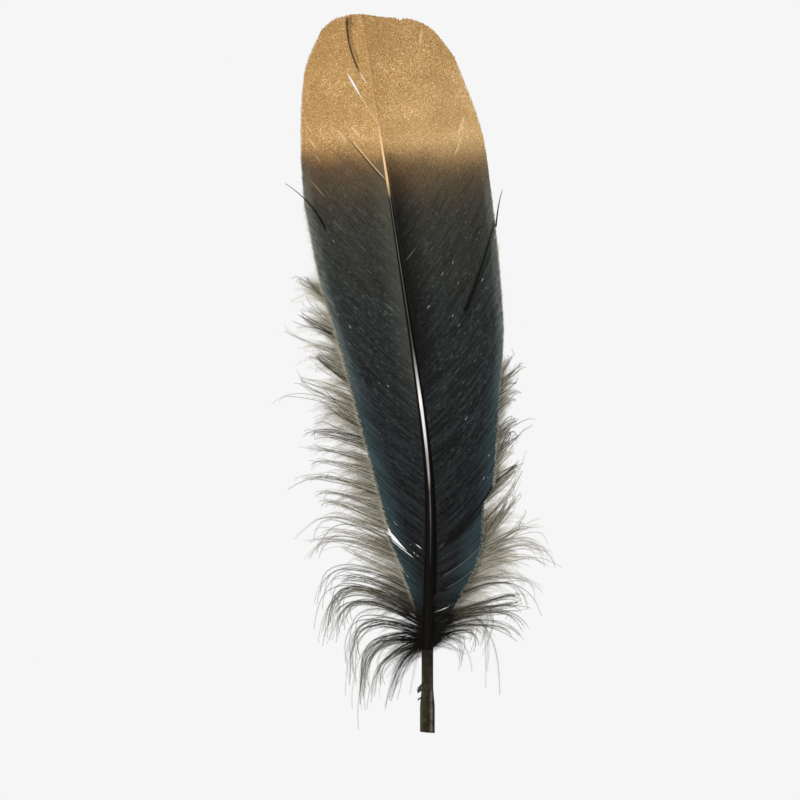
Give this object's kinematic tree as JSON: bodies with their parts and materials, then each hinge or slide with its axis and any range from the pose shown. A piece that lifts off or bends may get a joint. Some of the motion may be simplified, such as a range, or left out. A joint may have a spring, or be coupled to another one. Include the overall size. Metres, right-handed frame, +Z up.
{
  "type": "feather quill",
  "caption": "Black-dyed feather quill with a gold-dipped tip, blue-black vanes, loose down and a hollow barrel cut square.",
  "frame": {"origin": "centre of the cut end of the hollow barrel", "axes": "+Z up the shaft towards the tip of the vane, -Y out of the smooth outer face, +X towards the wider vane"},
  "size_m": [0.1006, 0.0147, 0.25],
  "materials": {
    "horn_barrel": "satin dyed horn, olive brown",
    "dried_pulp": "dull papery membrane",
    "dyed_shaft": "satin dyed horn with a pale line along the ridge",
    "pith": "dull foam",
    "gold_vane": "metallic gold paint with a coarse sparkle",
    "dyed_vane": "dyed barbs, charcoal above and blue-black below",
    "down": "soft dark grey-brown down",
    "sheath": "dull dark flake"
  },
  "bodies": {
    "root": {"barrel": "horn_barrel", "pulp_cap_lower": "dried_pulp", "pulp_cap_middle": "dried_pulp", "pulp_cap_upper": "dried_pulp", "shaft_skin": "dyed_shaft", "shaft_pith": "pith", "left_vane_base": "dyed_vane", "left_vane_lower": "dyed_vane", "left_vane_middle": "dyed_vane", "left_vane_upper": "gold_vane", "left_vane_tip": "gold_vane", "right_vane_base": "dyed_vane", "right_vane_lower": "dyed_vane", "right_vane_middle": "dyed_vane", "right_vane_upper": "dyed_vane", "right_vane_tip": "gold_vane", "left_down_1": "down", "left_down_2": "down", "left_down_3": "down", "left_down_4": "down", "left_down_5": "down", "left_down_6": "down", "left_down_7": "down", "left_down_8": "down", "left_down_9": "down", "left_down_10": "down", "left_down_11": "down", "left_down_12": "down", "right_down_1": "down", "right_down_2": "down", "right_down_3": "down", "right_down_4": "down", "right_down_5": "down", "right_down_6": "down", "right_down_7": "down", "right_down_8": "down", "right_down_9": "down", "right_down_10": "down", "right_down_11": "down", "loose_barb_left": "dyed_vane", "loose_barb_right": "dyed_vane", "loose_barb_outer": "dyed_vane", "sheath_flake_upper": "sheath", "sheath_flake_lower": "sheath"}
  },
  "joints": []
}
